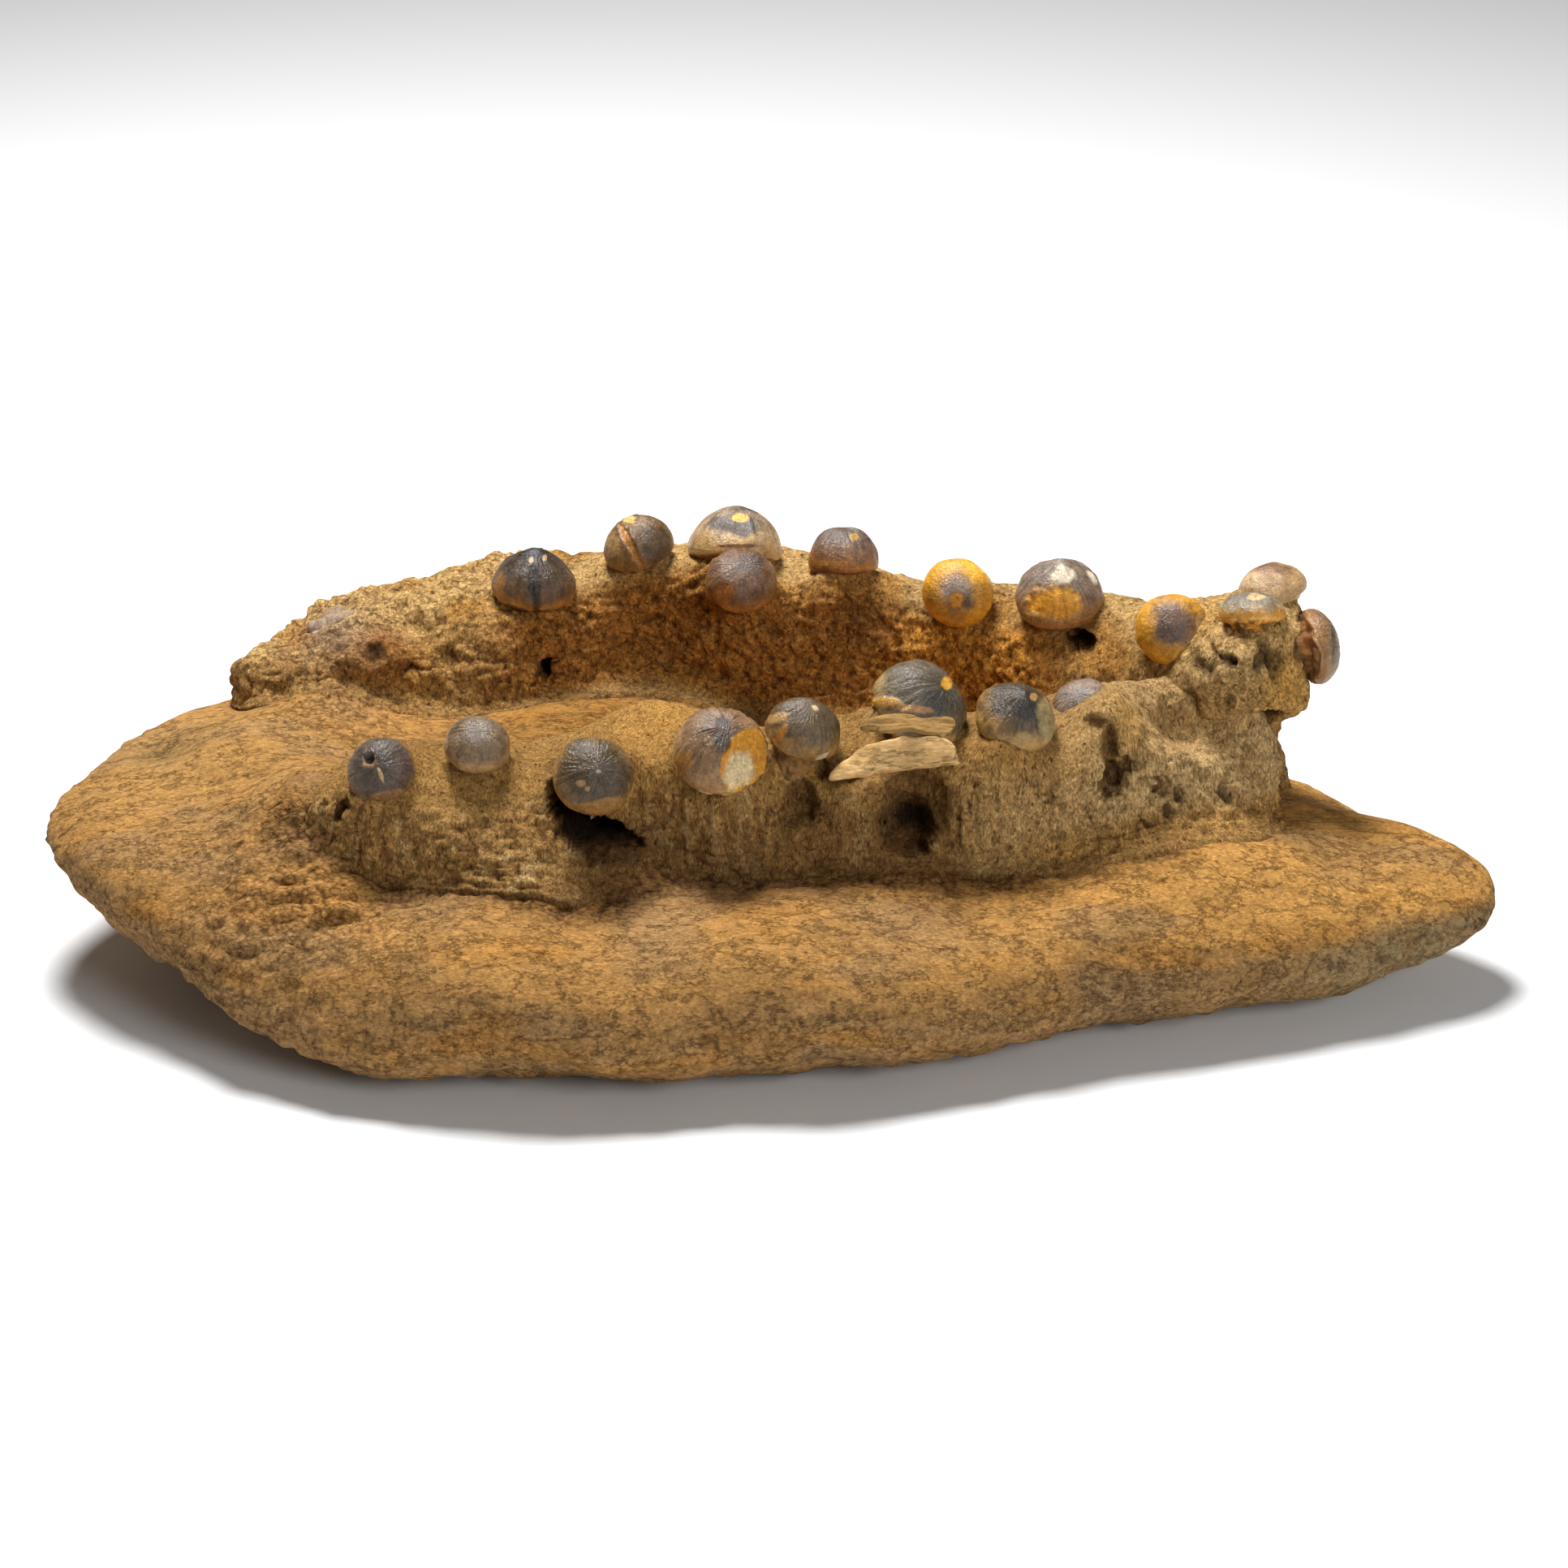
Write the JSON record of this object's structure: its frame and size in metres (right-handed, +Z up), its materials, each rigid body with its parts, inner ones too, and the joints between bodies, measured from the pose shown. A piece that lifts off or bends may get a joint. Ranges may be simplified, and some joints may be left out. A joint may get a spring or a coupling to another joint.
{
  "type": "fossil mosasaur jaw in matrix",
  "caption": "Fossil mosasaur jaw: two toothed jaw bones in a V on a loaf-shaped sandstone matrix, with rounded button teeth and pale splinters of bone.",
  "frame": {"origin": "centre of the whole fossil's outline seen from above, on the surface that the stone rests on", "axes": "+Z up, +X along the jaw from its broken ends to the snout, -Y the side that the tooth crowns lean to"},
  "size_m": [0.339, 0.1951, 0.0894],
  "materials": {
    "sandstone": "matt weathered golden-brown sandstone, fine and granular",
    "crusted_bone": "matt fossil bone under a crust of ochre sand",
    "bare_bone": "pale cream fossil bone, dull and fibrous",
    "slate_enamel": "satin slate-blue fossil enamel with fine wrinkles",
    "brown_enamel": "glossy mauve-brown fossil enamel, slightly see-through at the edges",
    "amber_enamel": "glossy amber fossil enamel with a dark middle"
  },
  "bodies": {
    "root": {"matrix_slab": "sandstone", "far_jaw_bone": "crusted_bone", "near_jaw_bone": "crusted_bone", "bone_splinter": "bare_bone", "bone_flake": "bare_bone", "near_tooth_1": "slate_enamel", "near_tooth_2": "brown_enamel", "near_tooth_3": "slate_enamel", "near_tooth_4": "brown_enamel", "near_tooth_5": "brown_enamel", "near_tooth_6": "slate_enamel", "near_tooth_7": "brown_enamel", "near_tooth_8": "slate_enamel", "far_tooth_root": "bare_bone", "far_tooth_1": "slate_enamel", "far_tooth_2": "brown_enamel", "far_tooth_3": "brown_enamel", "far_tooth_4": "brown_enamel", "far_tooth_5": "brown_enamel", "far_tooth_6": "amber_enamel", "far_tooth_7": "brown_enamel", "far_tooth_8": "amber_enamel", "far_tooth_9": "slate_enamel", "far_tooth_10": "amber_enamel", "far_tooth_11": "brown_enamel"}
  },
  "joints": []
}
